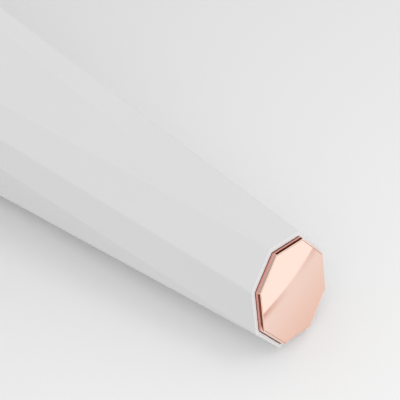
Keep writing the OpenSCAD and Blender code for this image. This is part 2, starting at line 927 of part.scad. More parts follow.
module horn() {
    color("#b9bcc0")
        difference() {
            on_stack(horn_at)
                difference() {
                    union() {
                        cylinder(r = stack_r, h = horn_body_len);
                        cylinder(r = horn_nose_r, h = horn_body_len + horn_nose_len);
                    }
                    translate([0, 0, -over])
                        cylinder(r = bolt_r + eps, h = bolt_thread + 2 * over);
                    // Slot for the spatula's tab
                    translate([-blade_t / 2 - eps, -tall, horn_end_at - horn_at - tab_len - gap])
                        cube([blade_t + 2 * eps, 2 * tall, tab_len + over]);
                }
            translate([-horn_end_at + tab_len / 2, 0, axis_z - clamp_hold - 2 * gap])
                cylinder(r = clamp_r + eps, h = tall, $fn = 24);
            translate([-horn_end_at + tab_len / 2, 0, clamp_seat_z])
                cylinder(r = clamp_head_r + gap, h = tall);
        }
}

// Silicone block round the stack, open at the top
module mount(at, r) {
    color(SILICONE)
        difference() {
            translate([-at - mount_t / 2, -mount_w / 2, mount_low_z])
                cube([mount_t, mount_w, mount_top_z - mount_low_z]);
            on_stack(at - mount_t)
                cylinder(r = r + eps, h = 2 * mount_t);
            for (side = [-1, 1])
                translate([-at, side * mount_w / 2, mount_low_z - over])
                    block([rib_t + 2 * gap, 2 * groove_depth, tall]);
        }
}
module front_mount() mount(front_mount_at, stack_r);
module rear_mount() mount(rear_mount_at, stack_r);

module main_board() {
    color(GREEN)
        on_control(0, 0, board_depth + board_t)
            difference() {
                translate([-board_front, -board_w / 2, 0])
                    cube([board_front + board_back, board_w, board_t]);
                for (p = BOARD_SCREWS)
                    translate([-p[0], p[1] * board_screw_side, -over])
                        cylinder(r = board_screw_r + gap, h = board_t + 2 * over);
            }
}

module board_screws() {
    color(STEEL)
        board_screw_places(board_depth + board_t)
            pan_screw(board_screw_r, board_screw_head_r, board_screw_head_h, board_screw_len);
}

// Tact switch: a low box with a moving plunger
switch_w = 4.2;
switch_h = 1.6;
plunger_r = 1;
plunger_up = 0.5;
plunger_in = 0.6;
plunger_gap = 0.06;
button_bevel = 0.3;
module tact_switch(i) {
    color(DARK)
        on_control(BUTTONS_DOWN[i], 0, board_depth)
            difference() {
                block([switch_w, switch_w, switch_h]);
                translate([0, 0, switch_h - plunger_in - button_travel - gap])
                    cylinder(r = plunger_r + plunger_gap, h = tall);
            }
}
module tact_plunger(i) {
    color("#8d9096")
        on_control(BUTTONS_DOWN[i], 0, board_depth)
            translate([0, 0, switch_h - plunger_in])
                cylinder(r = plunger_r, h = plunger_in + plunger_up);
}
module button(i) {
    foot = board_depth - switch_h - plunger_up;
    flange_top = wall + 0.05;
    color(ROSE)
        on_control(BUTTONS_DOWN[i], 0, foot) {
            flat_octagon(button_w, foot + button_proud - button_bevel);
            translate([0, 0, foot + button_proud - button_bevel - eps])
                hull() {
                    flat_octagon(button_w, eps);
                    flat_octagon(button_w - 2 * button_bevel, button_bevel + eps);
                }
            flat_octagon(button_w + 2 * (button_lip + button_gap), foot - flange_top);
        }
}
module power_switch() tact_switch(2);
module power_plunger() tact_plunger(2);
module power_button() button(2);
module mode_switch() tact_switch(1);
module mode_plunger() tact_plunger(1);
module mode_button() button(1);
module level_switch() tact_switch(0);
module level_plunger() tact_plunger(0);
module level_button() button(0);

// Three light dots near the crest: chips on the board and one clear guide
led_size = [1, 1.6, 0.6];
guide_bar_w = 1.6;
guide_bar_t = 0.7;
module led_chips() {
    color("#f6efd8")
        for (i = [-1 : 1])
            on_control(dot_down, i * dot_pitch, board_depth)
                block(led_size);
}
module light_guide() {
    guide_low = board_depth - led_size[2] - gap;
    color("#e9eef2") {
        for (i = [-1 : 1])
            on_control(dot_down, i * dot_pitch, guide_low)
                cylinder(r = dot_r, h = guide_low, $fn = 24);
        on_control(dot_down, 0, wall + guide_bar_t + gap / 2)
            block([guide_bar_w, 2 * dot_pitch + guide_bar_w, guide_bar_t]);
    }
}

module under_board(x, y, size) {
    on_control(x, y, board_depth + board_t + size[2])
        block(size);
}
module on_board(x, y, size) {
    on_control(x, y, board_depth)
        block(size);
}
chip_down = -5.4;
chip_size = [5, 4.4, 0.9];
transistor_size = [3, 2, 1];
capacitor_size = [3.2, 1.6, 0.9];
board_edge = 0.5;
chip_row = board_w / 2 - board_edge;
module controller_chip() {
    color(DARK)
        on_board(chip_down, -chip_row + chip_size[1] / 2, chip_size);
}
module transistors() {
    down = first_button + 1.5 * button_pitch;
    color(DARK)
        for (side = [-1, 1])
            on_board(down, side * (chip_row - transistor_size[1]), transistor_size);
}
core_size = [8.6, 8, 5];
core_down = -0.5;
winding_size = [5, 6, 0.6];
module drive_transformer() {
    color("#5b5f66")
        under_board(core_down, 0, core_size);
    color(BRASS)
        on_control(core_down, 0, board_depth + board_t + core_size[2] + winding_size[2])
            block(winding_size + [0, 0, eps]);
}
module capacitors() {
    step = capacitor_size[1] + board_edge;
    color("#7a6a4d")
        for (i = [0, 1])
            on_board(chip_down, chip_row - capacitor_size[1] / 2 - i * step, capacitor_size);
}

module charge_board() {
    color(GREEN)
        translate([-socket_at - charge_board_x / 2, charge_board_back_y, charge_board_z])
            cube([charge_board_x, charge_board_y1 - charge_board_back_y, board_t]);
}
module socket_shell() {
    back_y = socket_mouth_y - socket_depth;
    color(STEEL)
        difference() {
            socket_bar(socket_w, socket_h, socket_corner_r, back_y, socket_mouth_y);
            socket_bar(socket_w - 2 * socket_wall, socket_h - 2 * socket_wall,
                       socket_corner_r - socket_wall, back_y + socket_back_t, socket_mouth_y + over);
        }
}
module socket_tongue() {
    back_y = socket_mouth_y - socket_depth + socket_back_t;
    color(DARK)
        translate([-socket_at - tongue_w / 2, back_y, socket_z - tongue_t / 2])
            cube([tongue_w, socket_depth - socket_back_t - tongue_recess, tongue_t]);
}
chip_h = 0.9;
charge_chip_w = 4;
charge_chip_y = 0.4;
module charge_chip() {
    color(DARK)
        translate([-socket_at, charge_chip_y, charge_board_z + board_t])
            block([charge_chip_w, charge_chip_w, chip_h]);
}

// Pin strip that joins the two boards
header_y = -5.4;
header_size = [8, 2, 2];
pin_w = 0.6;
pin_pitch = 2.5;
pin_clear = 0.35;
module board_header() {
    low = charge_board_z + board_t;
    high = board_low_z(socket_at);
    color(DARK)
        translate([-socket_at, header_y, low])
            block(header_size);
    color(BRASS)
        for (i = [-1 : 1])
            translate([-socket_at + i * pin_pitch, header_y, low + eps])
                block([pin_w, pin_w, high - low - pin_clear]);
}

// The cell's far contact is a raised button; each tab reaches sideways to its lead
contact_h = 0.8;
contact_d = 5.4;
tab_t = 0.2;
tab_strip_w = 4;
tab_reach = [-3, 5.5];
module battery_cell() {
    color("#3f6fa8")
        on_cell(0)
            cylinder(d = cell_d, h = cell_len - contact_h);
    color(STEEL)
        on_cell(cell_len - contact_h - eps)
            cylinder(d = contact_d, h = contact_h + eps);
}
module battery_tabs() {
    color("#d0c9b8")
        for (along = [-tab_t, cell_len])
            on_cell(along)
                translate([-tab_strip_w / 2, tab_reach[0], 0])
                    cube([tab_strip_w, tab_reach[1] - tab_reach[0], tab_t]);
}
// Foam between the cell and the roof
pad_len = 12;
pad_w = 6;
module battery_pad() {
    color("#4a4d52")
        difference() {
            intersection() {
                bar(wall + gap / 2, end_wall, neck_at);
                translate([-cell_at - cell_len / 2, 0, mid_z(cell_at) + cell_d / 2 - 1])
                    block([pad_len, pad_w, tall]);
            }
            on_cell(-over)
                cylinder(d = cell_d + gap, h = cell_len + 2 * over);
        }
}

// Leads, along routes chosen by hand through the free space. Their points are measured from the
// middle of what they start at or end at: the cell's two ends, or the stack's electrodes, from
// where the last stretch runs straight up to the main board.
lead_r = 0.55;
CELL_NEAR = [-cell_at, 0, mid_z(cell_at)];
CELL_FAR = [-cell_end_at, 0, mid_z(cell_end_at)];
RED_ROUTE = [
    [-0.35, 4.4, 0], [-1.2, 4.4, 0.1], [-2.2, 4.2, 0.2], [-3, 3.9, 0.1],
    [-3.5, 3.6, -0.3], [-3.6, 3.5, -0.7], [-3.6, 3.5, -1.1]
];
BLACK_START = [
    [0.3, 4.6, 0.3], [1.1, 4.6, 0.3], [1.5, 5.8, 0.6], [1.1, 6.9, 0.9], [0, 7.8, 1.3],
    [-2, 8.4, 1.6], [-7, 8.6, 2], [-17, 8.7, 2.4]
];
BLACK_END = [
    [17, 8.7, 0.7], [2, 8.5, 1.1], [-0.4, 8.2, 1.1], [-1.8, 7.6, 0.9], [-2.7, 7, 0.4],
    [-3, 6.8, -0.3], [-3, 6.8, -1.1]
];
FRONT_ROUTE = [
    [-0.05, -6, 3.5], [-0.6, -6, 3.5], [-1.1, -6.1, 4.1], [-1.4, -6.4, 5.1], [-1.5, -6.6, 6.5]
];
REAR_ROUTE = [
    [0.05, 6, 3.5], [0.6, 6, 3.5], [1, 6.2, 4.3], [1.3, 6.4, 5.3], [2.2, 6.6, 6.7], [2.6, 6.6, 7.7]
];
function moved(path, by) = [for (p = path) p + by];
function up_to_board(path) =
    let (p = path[len(path) - 1])
    concat(path, [[p[0], p[1], board_low_z(-p[0]) - gap]]);
module battery_lead_red() {
    color("#c0392b")
        lead(moved(RED_ROUTE, CELL_FAR), lead_r);
}
module battery_lead_black() {
    color("#202225")
        lead(concat(moved(BLACK_START, CELL_NEAR), moved(BLACK_END, CELL_FAR)), lead_r);
}
module stack_lead_front() {
    color("#d8d8da")
        lead(up_to_board(moved(FRONT_ROUTE, [-front_electrode_at - electrode_t, 0, axis_z])), lead_r);
}
module stack_lead_rear() {
    color("#d8b040")
        lead(up_to_board(moved(REAR_ROUTE, [-rear_electrode_at, 0, axis_z])), lead_r);
}

// Moves the device so that the middle of its length lies at x = 0
cap_reach = cap_proud * cos(end_tilt) + face_r * sin(end_tilt);
tip_reach = blade_bend_at + bend_r * sin(tip_bend)
    + (tip_len - bend_r * tip_bend * PI / 180) * cos(tip_bend);
module placed() {
    translate([(tip_reach - cap_reach) / 2, 0, 0])
        children();
}

placed() housing();
placed() back_cover();
placed() cover_screws();
placed() screw_plugs();
placed() cap_rim();
placed() cap_face();
placed() cap_nut();
placed() neck_collar();
placed() neck_gasket();
placed() blade();
placed() blade_screw();
placed() horn();
placed() piezo_front();
placed() piezo_rear();
placed() electrode_front();
placed() electrode_rear();
placed() back_mass();
placed() stack_bolt();
placed() front_mount();
placed() rear_mount();
placed() main_board();
placed() board_screws();
placed() controller_chip();
placed() transistors();
placed() drive_transformer();
placed() capacitors();
placed() led_chips();
placed() light_guide();
placed() power_switch();
placed() power_plunger();
placed() mode_switch();
placed() mode_plunger();
placed() level_switch();
placed() level_plunger();
placed() power_button();
placed() mode_button();
placed() level_button();
placed() charge_board();
placed() socket_shell();
placed() socket_tongue();
placed() charge_chip();
placed() board_header();
placed() battery_cell();
placed() battery_tabs();
placed() battery_pad();
placed() battery_lead_red();
placed() battery_lead_black();
placed() stack_lead_front();
placed() stack_lead_rear();
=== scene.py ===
"""Looks of the ultrasonic facial cleansing device: a faceted white handle with a polished rose gold
end cap, three rose gold buttons, a rose gold neck collar and a brushed steel spatula.

Lengths are metres in the part's own frame, +Z up: the end cap is at +X and the spatula at -X.
"""
import json
import math

import bmesh
import bpy
from mathutils import Matrix, Quaternion, Vector


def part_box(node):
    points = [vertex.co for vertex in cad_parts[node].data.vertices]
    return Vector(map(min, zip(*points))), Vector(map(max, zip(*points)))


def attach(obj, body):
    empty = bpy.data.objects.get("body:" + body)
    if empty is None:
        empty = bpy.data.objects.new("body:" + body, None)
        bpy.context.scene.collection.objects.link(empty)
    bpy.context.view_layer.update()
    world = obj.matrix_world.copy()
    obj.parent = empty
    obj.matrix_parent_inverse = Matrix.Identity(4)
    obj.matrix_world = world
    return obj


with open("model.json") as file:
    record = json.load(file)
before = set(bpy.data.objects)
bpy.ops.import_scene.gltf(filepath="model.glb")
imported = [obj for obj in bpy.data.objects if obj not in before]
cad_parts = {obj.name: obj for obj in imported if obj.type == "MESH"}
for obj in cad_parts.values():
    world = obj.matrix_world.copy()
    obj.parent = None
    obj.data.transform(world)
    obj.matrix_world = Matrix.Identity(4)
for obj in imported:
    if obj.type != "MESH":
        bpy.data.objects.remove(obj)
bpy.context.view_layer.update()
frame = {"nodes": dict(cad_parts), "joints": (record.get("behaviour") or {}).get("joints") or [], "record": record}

MM = 0.001
NODES = frame["nodes"]
CAP_LOW, CAP_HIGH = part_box("cap_face")

# Camera: place, the point that it aims at, roll, lens for a 36 mm sensor, and the distances that it sees
CAMERA_AT = Vector((133.07, -107.88, 226.26)) * MM
CAMERA_AIM = Vector((61.41, 5.91, 9.88)) * MM
CAMERA_ROLL = math.radians(2.98)
CAMERA_LENS = 126.1
CAMERA_NEAR = 0.01
CAMERA_FAR = 10

# Light: level of the light that comes from all round, and of the backdrop that shows
FILL_LEVEL = 0.97
BACKDROP_LEVEL = 0.95

# Softboxes over the object and, low down, before the cap's end: place, side, watts
SOFTBOXES = {
    "softbox": (Vector((0.39, 0.33, 0.88)), 0.35, 0.92),
    "end_softbox": (Vector((1.0, 0.02, 0.13)), 0.2, 2.0),
}

# Floor: pale, with painted light that makes it brighter along one direction; a share of glow, painted light
# that lifts its shadow, in what shows of it, and its level for the light that it throws back
FLOOR_SIZE = 6.0
FLOOR_DIM = 0.595
FLOOR_BRIGHT = 0.875
FLOOR_SLOPE = (7.4, -3.7, 0)
FLOOR_SLOPE_ENDS = (-0.6, 1.0)
FLOOR_GLOW = 0.8
FLOOR_GLOW_SHARE = 0.09
FLOOR_BOUNCE = 0.9
FLOOR_ROUGHNESS = 0.6

# Colours: the polished gold, the side of the cap's rim, the icons and the socket's contacts
ROSE_GOLD = (0.98, 0.72, 0.622)
DEEP_ROSE = (0.84, 0.41, 0.35)
ENAMEL = (0.11, 0.10, 0.10)
CONTACT_GOLD = (0.86, 0.66, 0.30)
WHITE = Vector((1, 1, 1))

# Patches of even gloss are so many times as wide as the grain
GLOSS_PATCH = 4

# Cap: its lean from upright and the direction that it faces, how far under its face the steep bevel of
# its rim starts, and the depth over which the rim's colour changes there
CAP_LEAN = math.radians(27)
CAP_AXIS = Vector((math.cos(CAP_LEAN), 0, math.sin(CAP_LEAN)))
CAP_BEVEL = 0.45 * MM
CAP_BLEND = 0.03 * MM

# Reflector: a bowed glowing card that stands before the cap, seen in metal only, which paints the bright
# part of the reflection in the cap's face
REFLECTOR_AHEAD = 22.6 * MM
REFLECTOR_MIDDLE = 15 * MM
REFLECTOR_RADIUS = 38 * MM
REFLECTOR_HALF_WIDTH = 32 * MM
REFLECTOR_HEIGHT = 60 * MM
REFLECTOR_LEVEL = 1.095
REFLECTOR_STEPS = 24

# Painted shade that the floor before the cap shows in metal: rosy by the cap, painted as light that the cap
# throws back, and deeper where the reflector's near and far ends stand
SHADE_BY_CAP = Vector((1.0, 0.90, 0.85))
SHADE_NEAR_END = Vector((0.72, 0.48, 0.42))
SHADE_FAR_END = Vector((0.88, 0.76, 0.74))

# Reach of that shade: how far from the cap the rosy part starts to fade and over what length, how far
# from the reflector's middle the other part is full, and how far it reaches from the reflector
SHADE_FADE_START = 4 * MM
SHADE_FADE_LENGTH = REFLECTOR_AHEAD - 6 * MM
SHADE_END_REACH = 11 * MM
SHADE_DEPTH = 3.8 * MM

# The sheet that shows the shade: its steps along each side, and its height over the floor
SHEET_STEPS = 60
SHEET_RAISE = 0.05 * MM

# Brown cards at both sides of the cap and a grey one over it, seen in metal only, that glow to paint the
# dark lines and the grey band of reflection on the cap's rim: place, width, height and colour
CARDS = {
    "card_far": (Vector((45, 110, 58)) * MM, 36 * MM, 20 * MM, (0.07, 0.02, 0.008)),
    "card_near": (Vector((98, -115, 14)) * MM, 70 * MM, 27 * MM, (0.19, 0.07, 0.045)),
    "card_over": (Vector((0, -85, 315)) * MM, 140 * MM, 140 * MM, (0.5, 0.48, 0.47)),
}

# Rounded edges: their widths and steps, the share of the width that a shell's openings get, and the
# angles from which an edge is rounded and from which it is kept crisp
SHELL_EDGE = 0.2 * MM
SMALL_EDGE = 0.12 * MM
METAL_EDGE = 0.06 * MM
EDGE_STEPS = 3
OPENING_SHARE = 0.1
EDGE_ANGLE = math.radians(30)
CREASE_ANGLE = math.radians(12)

# Limits: points so near are one, faces so alike are one plane, an edge so near a ridge belongs to it and
# one so near the hull is on a shell's outside, and from this area on a facet is shaded flat
WELD_REACH = 0.012 * MM
FLAT_ANGLE = math.radians(0.3)
RIDGE_REACH = 0.3 * MM
SKIN_DEPTH = 1.0 * MM
FACET_AREA = 40 * MM * MM

# Nodes that show, with the width of their rounded edges
SHELLS = {"housing": SHELL_EDGE, "back_cover": SMALL_EDGE, "neck_collar": SMALL_EDGE}
SOLIDS = {
    "screw_plugs": SMALL_EDGE, "cap_rim": METAL_EDGE, "cap_face": METAL_EDGE, "neck_gasket": SMALL_EDGE,
    "blade": METAL_EDGE, "power_button": SMALL_EDGE, "mode_button": SMALL_EDGE,
    "level_button": SMALL_EDGE, "socket_tongue": METAL_EDGE,
}

# Directions at the control facet: out of it, which the buttons are pressed against, across it, and along
# it towards the spatula
CONTROL_OUT = -Vector(frame["joints"][0]["axis"]).normalized()
CONTROL_SIDE = Vector((0, 1, 0))
CONTROL_AHEAD = CONTROL_OUT.cross(CONTROL_SIDE)

# Icons on the buttons: width of their round lines and the share of it that they are flattened to, the
# steps of a curve and of a line's section, and how near its highest point a button's top is
ICON_LINE = 0.36 * MM
ICON_RAISE = 0.25
ICON_STEPS = 28
ICON_SECTION_STEPS = 3
TOP_REACH = 0.01 * MM

# Contacts on the socket's tongue: their number on each face, their sizes, their distance from its tip
# and the steps of their edges
CONTACTS = 12
CONTACT_PITCH = 0.5 * MM
CONTACT_WIDTH = 0.27 * MM
CONTACT_LENGTH = 3.4 * MM
CONTACT_RAISE = 0.03 * MM
CONTACT_INSET = 0.3 * MM
CONTACT_EDGE_STEPS = 2

# Looks of the record's material slots, as the values that surface() takes
LOOKS = {
    "white_shell": dict(color=(0.645, 0.645, 0.647), roughness=0.38, tone=0.01, tone_per_mm=0.05,
                        grain_per_mm=6.0, grain_depth=3e-6),
    "rose_gold": dict(color=ROSE_GOLD, roughness=0.04, metallic=1.0, tone=0.015, rough_swing=0.01,
                      grain_per_mm=1.5, grain_depth=4e-7),
    "blade_steel": dict(color=(0.72, 0.73, 0.74), roughness=0.24, metallic=1.0, tone=0.07, tone_per_mm=2.5,
                        rough_swing=0.06, grain_per_mm=6.0, grain_depth=3e-7, stretch=(60, 1, 60)),
    "steel": dict(color=(0.6, 0.61, 0.62), roughness=0.32, metallic=1.0, grain_depth=2e-6),
    "horn_alloy": dict(color=(0.68, 0.69, 0.70), roughness=0.3, metallic=1.0, grain_per_mm=8.0,
                       grain_depth=3e-6, stretch=(1, 14, 14)),
    "silicone": dict(color=(0.72, 0.72, 0.73), roughness=0.55, grain_per_mm=5.0, grain_depth=6e-6),
    "foam": dict(color=(0.06, 0.065, 0.07), roughness=0.9, tone=0.3, tone_per_mm=3.0, grain_depth=8e-5),
    "piezo_ceramic": dict(color=(0.25, 0.24, 0.23), roughness=0.6, tone=0.1, tone_per_mm=2.0),
    "brass_sheet": dict(color=(0.78, 0.60, 0.28), roughness=0.25, metallic=1.0),
    "circuit_board": dict(color=(0.03, 0.2, 0.09), roughness=0.35, tone=0.25, tone_per_mm=0.8),
    "chip_black": dict(color=(0.03, 0.03, 0.033), roughness=0.5, tone=0.1, grain_depth=8e-6),
    "ferrite": dict(color=(0.09, 0.09, 0.1), roughness=0.6, tone=0.2, tone_per_mm=2.5, grain_depth=1e-5),
    "component_tan": dict(color=(0.42, 0.3, 0.17), roughness=0.5, tone=0.1, tone_per_mm=2.0),
    "led_lens": dict(color=(0.85, 0.8, 0.55), roughness=0.15, Transmission_Weight=0.3),
    "clear_guide": dict(color=(0.46, 0.48, 0.5), roughness=0.25, Transmission_Weight=0.25),
    "socket_steel": dict(color=(0.66, 0.67, 0.68), roughness=0.22, metallic=1.0, grain_depth=1e-6),
    "cell_wrap": dict(color=(0.06, 0.2, 0.42), roughness=0.22, tone=0.06),
    "nickel": dict(color=(0.7, 0.68, 0.62), roughness=0.3, metallic=1.0),
    "lead_red": dict(color=(0.5, 0.03, 0.025), roughness=0.45),
    "lead_black": dict(color=(0.02, 0.02, 0.02), roughness=0.45),
    "lead_white": dict(color=(0.72, 0.72, 0.72), roughness=0.45),
    "lead_yellow": dict(color=(0.72, 0.5, 0.05), roughness=0.45),
}


def link(material, start, end):
    """Joins an output to an input in a material or world."""
    material.node_tree.links.new(start, end)


def node(material, kind, **values):
    """A shader node with its properties and, by name, its input values."""
    made = material.node_tree.nodes.new(kind)
    for name, value in values.items():
        if name in made.inputs:
            made.inputs[name].default_value = value
        else:
            setattr(made, name, value)
    return made


def millimetres(material, stretch=(1, 1, 1)):
    """Object coordinates in millimetres, divided by a stretch along each axis."""
    place = node(material, "ShaderNodeTexCoord")
    scale = node(material, "ShaderNodeMapping")
    scale.inputs["Scale"].default_value = [1 / MM / s for s in stretch]
    link(material, place.outputs["Object"], scale.inputs["Vector"])
    return scale.outputs["Vector"]


def along(material, direction):
    """How far a point lies along a direction, in object coordinates."""
    place = node(material, "ShaderNodeTexCoord")
    made = node(material, "ShaderNodeVectorMath", operation="DOT_PRODUCT")
    made.inputs[1].default_value = direction
    link(material, place.outputs["Object"], made.inputs[0])
    return made.outputs["Value"]


def speckle(material, coords, per_mm, detail=3.0, rough=0.55):
    """Noise with so many features to the millimetre, from 0 to 1."""
    made = node(material, "ShaderNodeTexNoise", Scale=per_mm, Detail=detail, Roughness=rough)
    link(material, coords, made.inputs["Vector"])
    return made.outputs["Fac"]


def spread(material, value, low, high, source=(0.3, 0.7)):
    """A value in the source range brought to another range."""
    made = node(material, "ShaderNodeMapRange")
    made.inputs["From Min"].default_value = source[0]
    made.inputs["From Max"].default_value = source[1]
    made.inputs["To Min"].default_value = low
    made.inputs["To Max"].default_value = high
    link(material, value, made.inputs["Value"])
    return made.outputs["Result"]


def shades(material, value, dark, light):
    """A mix of two colours by a value."""
    made = node(material, "ShaderNodeMix", data_type="RGBA")
    made.inputs["A"].default_value = (*dark, 1)
    made.inputs["B"].default_value = (*light, 1)
    link(material, value, made.inputs["Factor"])
    return made.outputs["Result"]


def toned(color, factor):
    """A colour made darker or brighter, up to white."""
    return tuple(min(1.0, c * factor) for c in color)


def base_color(shader):
    """The output that a shader's colour comes from."""
    return shader.inputs["Base Color"].links[0].from_socket


def surface(name, color, roughness, metallic=0.0, tone=0.03, tone_per_mm=0.12, rough_swing=0.05,
            grain_per_mm=4.0, grain_depth=4e-6, stretch=(1, 1, 1), **constants):
    """A material with slow shifts of tone, uneven gloss and a fine grain. Other inputs of the shader are
    set by their names, with _ for a space."""
    material = bpy.data.materials.new(name)
    material.use_nodes = True
    shader = material.node_tree.nodes["Principled BSDF"]
    shader.inputs["Metallic"].default_value = metallic
    for socket, value in constants.items():
        shader.inputs[socket.replace("_", " ")].default_value = value
    grain = millimetres(material, stretch)
    cloud = speckle(material, grain, tone_per_mm)
    link(material, shades(material, cloud, toned(color, 1 - tone), toned(color, 1 + tone)),
         shader.inputs["Base Color"])
    gloss = speckle(material, grain, grain_per_mm / GLOSS_PATCH, detail=4.0)
    link(material, spread(material, gloss, roughness - rough_swing, roughness + rough_swing),
         shader.inputs["Roughness"])
    bump = node(material, "ShaderNodeBump", Strength=1.0, Distance=grain_depth)
    link(material, speckle(material, grain, grain_per_mm), bump.inputs["Height"])
    link(material, bump.outputs["Normal"], shader.inputs["Normal"])
    return material


def mesh_group(name):
    """A geometry node group, and the geometry that goes into it."""
    group = bpy.data.node_groups.new(name, "GeometryNodeTree")
    for way in ("INPUT", "OUTPUT"):
        group.interface.new_socket("Geometry", in_out=way, socket_type="NodeSocketGeometry")
    return group, group.nodes.new("NodeGroupInput").outputs["Geometry"]


def give_out(group, mesh):
    """Makes this geometry the one that comes out of a group."""
    group.links.new(mesh, group.nodes.new("NodeGroupOutput").inputs["Geometry"])


def compare(group, value, operation, limit):
    """Whether a value is greater or less than a limit."""
    made = group.nodes.new("FunctionNodeCompare")
    made.operation = operation
    made.inputs["B"].default_value = limit
    group.links.new(value, made.inputs["A"])
    return made.outputs["Result"]


def combine(group, operation, first, second):
    """Two tests joined to one."""
    made = group.nodes.new("FunctionNodeBooleanMath")
    made.operation = operation
    group.links.new(first, made.inputs[0])
    group.links.new(second, made.inputs[1])
    return made.outputs["Boolean"]


def distance_to(group, target, kind):
    """Distance to the nearest of a mesh's faces or edges."""
    made = group.nodes.new("GeometryNodeProximity")
    made.target_element = kind
    group.links.new(target, made.inputs[0])
    return made.outputs["Distance"]


def store(group, mesh, name, kind, selection, value=None):
    """Writes a value to the chosen edges of a mesh, 1 if none is given."""
    made = group.nodes.new("GeometryNodeStoreNamedAttribute")
    made.data_type = kind
    made.domain = "EDGE"
    made.inputs["Name"].default_value = name
    made.inputs["Value"].default_value = True
    group.links.new(mesh, made.inputs["Geometry"])
    group.links.new(selection, made.inputs["Selection"])
    if value:
        group.links.new(value, made.inputs["Value"])
    return made.outputs["Geometry"]


def shell_skin(group, start, angle):
    """Which edges lie on a shell's outside, and the share of the bevel's width that each one gets."""
    hull = group.nodes.new("GeometryNodeConvexHull")
    ridges = group.nodes.new("GeometryNodeDeleteGeometry")
    ridges.domain = "EDGE"
    ridges.mode = "EDGE_FACE"
    group.links.new(start, hull.inputs["Geometry"])
    group.links.new(hull.outputs["Convex Hull"], ridges.inputs["Geometry"])
    group.links.new(compare(group, angle, "LESS_THAN", CREASE_ANGLE), ridges.inputs["Selection"])
    depth = distance_to(group, hull.outputs["Convex Hull"], "FACES")
    ridge_distance = distance_to(group, ridges.outputs["Geometry"], "EDGES")
    share = group.nodes.new("ShaderNodeMapRange")
    share.inputs["To Min"].default_value = OPENING_SHARE
    group.links.new(compare(group, ridge_distance, "LESS_THAN", RIDGE_REACH), share.inputs["Value"])
    return compare(group, depth, "LESS_THAN", SKIN_DEPTH), share.outputs["Result"]


def edge_choice(shell):
    """Geometry nodes that weigh a piece's edges for the bevel, keep its other creases crisp and shade the
    rest smooth. A shell's ridges get the whole width and its openings a share, but its inside none."""
    group, start = mesh_group("edge_choice")
    angle = group.nodes.new("GeometryNodeInputMeshEdgeAngle").outputs["Unsigned Angle"]
    smooth = group.nodes.new("GeometryNodeSetShadeSmooth")
    group.links.new(start, smooth.inputs["Geometry"])
    bevelled = compare(group, angle, "GREATER_THAN", EDGE_ANGLE)
    weight = None
    if shell:
        skin, weight = shell_skin(group, start, angle)
        bevelled = combine(group, "AND", bevelled, skin)
    crisp = combine(group, "NIMPLY", compare(group, angle, "GREATER_THAN", CREASE_ANGLE), bevelled)
    mesh = store(group, smooth.outputs["Geometry"], "bevel_weight_edge", "FLOAT", bevelled, weight)
    mesh = store(group, mesh, "sharp_edge", "BOOLEAN", crisp)
    give_out(group, mesh)
    return group


def flat_facets():
    """Geometry nodes that shade a piece's broad faces flat and leave the normals of its rounded edges."""
    group, start = mesh_group("flat_facets")
    area = group.nodes.new("GeometryNodeFieldOnDomain")
    area.domain = "FACE"
    group.links.new(group.nodes.new("GeometryNodeInputMeshFaceArea").outputs["Area"], area.inputs[0])
    normal = group.nodes.new("GeometryNodeInputNormal")
    choice = group.nodes.new("GeometryNodeSwitch")
    choice.input_type = "VECTOR"
    group.links.new(compare(group, area.outputs[0], "GREATER_THAN", FACET_AREA), choice.inputs["Switch"])
    group.links.new(normal.outputs["Normal"], choice.inputs["False"])
    group.links.new(normal.outputs["True Normal"], choice.inputs["True"])
    shaded = group.nodes.new("GeometryNodeSetMeshNormal")
    shaded.mode = "TANGENT_SPACE"
    shaded.domain = "CORNER"
    group.links.new(start, shaded.inputs["Mesh"])
    group.links.new(choice.outputs["Output"], shaded.inputs["Custom Normal"])
    give_out(group, shaded.outputs["Mesh"])
    return group


def soften(piece, width, shell):
    """Rounds a piece's edges by modifiers, which leave its own mesh as it is."""
    weld = piece.modifiers.new("weld", "WELD")
    weld.merge_threshold = WELD_REACH
    planes = piece.modifiers.new("planes", "DECIMATE")
    planes.decimate_type = "DISSOLVE"
    planes.angle_limit = FLAT_ANGLE
    choice = piece.modifiers.new("choice", "NODES")
    choice.node_group = edge_choice(shell)
    bevel = piece.modifiers.new("bevel", "BEVEL")
    bevel.width = width
    bevel.segments = EDGE_STEPS
    bevel.limit_method = "WEIGHT"
    bevel.use_clamp_overlap = False
    bevel.harden_normals = True
    weighted = piece.modifiers.new("weighted", "WEIGHTED_NORMAL")
    weighted.keep_sharp = True
    if shell:
        facets = piece.modifiers.new("facets", "NODES")
        facets.node_group = flat_facets()


def cap_rim_finish(polished):
    """The cap's polished gold, with a deeper rose on the rim's side under its bevel."""
    material = polished.copy()
    material.name = "rose_gold_rim"
    shader = material.node_tree.nodes["Principled BSDF"]
    face_level = max(v.co.dot(CAP_AXIS) for v in NODES["cap_face"].data.vertices)
    bevel_start = face_level - CAP_BEVEL
    over = spread(material, along(material, CAP_AXIS), 0, 1, source=(bevel_start - CAP_BLEND, bevel_start))
    finish = node(material, "ShaderNodeMix", data_type="RGBA")
    finish.inputs["A"].default_value = (*DEEP_ROSE, 1)
    link(material, over, finish.inputs["Factor"])
    link(material, base_color(shader), finish.inputs["B"])
    link(material, finish.outputs["Result"], shader.inputs["Base Color"])
    return material


def dress_nodes(materials):
    """Gives every node the material of its slot, and rounds the edges of those that show."""
    for sub in frame["record"]["subparts"]:
        for slot in NODES[sub["node"]].material_slots:
            slot.material = materials[sub["material_slot"]]
    for name, width in SHELLS.items():
        soften(NODES[name], width, shell=True)
    for name, width in SOLIDS.items():
        soften(NODES[name], width, shell=False)
    NODES["cap_rim"].material_slots[0].material = cap_rim_finish(materials["rose_gold"])


def new_piece(name, mesh, material):
    """An object of the scene from a mesh or curve and its material."""
    piece = bpy.data.objects.new(name, mesh)
    bpy.context.scene.collection.objects.link(piece)
    mesh.materials.append(material)
    return piece


